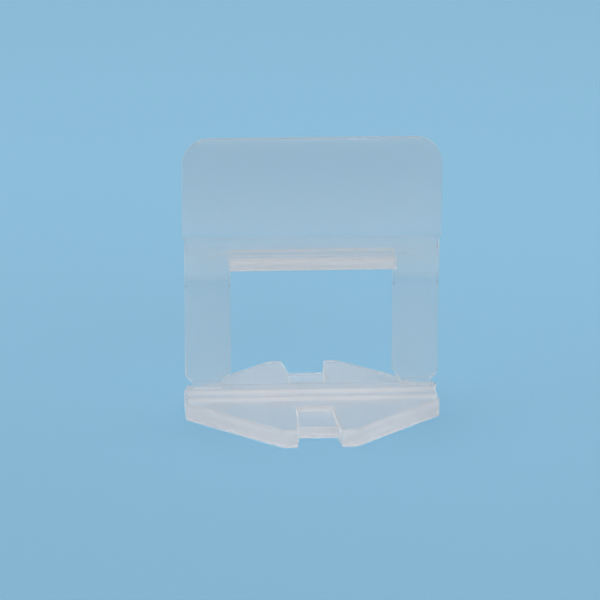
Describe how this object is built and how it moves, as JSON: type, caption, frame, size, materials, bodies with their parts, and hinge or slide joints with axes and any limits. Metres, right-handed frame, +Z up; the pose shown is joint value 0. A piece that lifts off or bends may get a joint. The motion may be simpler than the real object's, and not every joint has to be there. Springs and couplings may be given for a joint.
{
  "type": "tile leveling clip",
  "caption": "Milky see-through plastic tile leveling clip: a notched hexagonal base, a windowed upright on break-off necks and a broad rounded tab.",
  "frame": {"origin": "centre of the base's footprint, on its underside", "axes": "+X along the tile joint, +Y across the joint, +Z up from the base to the tab"},
  "size_m": [0.0494, 0.046, 0.0541],
  "materials": {
    "milky_plastic": "milky see-through, smooth as moulded"
  },
  "bodies": {
    "root": {"leveling_clip": "milky_plastic"}
  },
  "joints": []
}
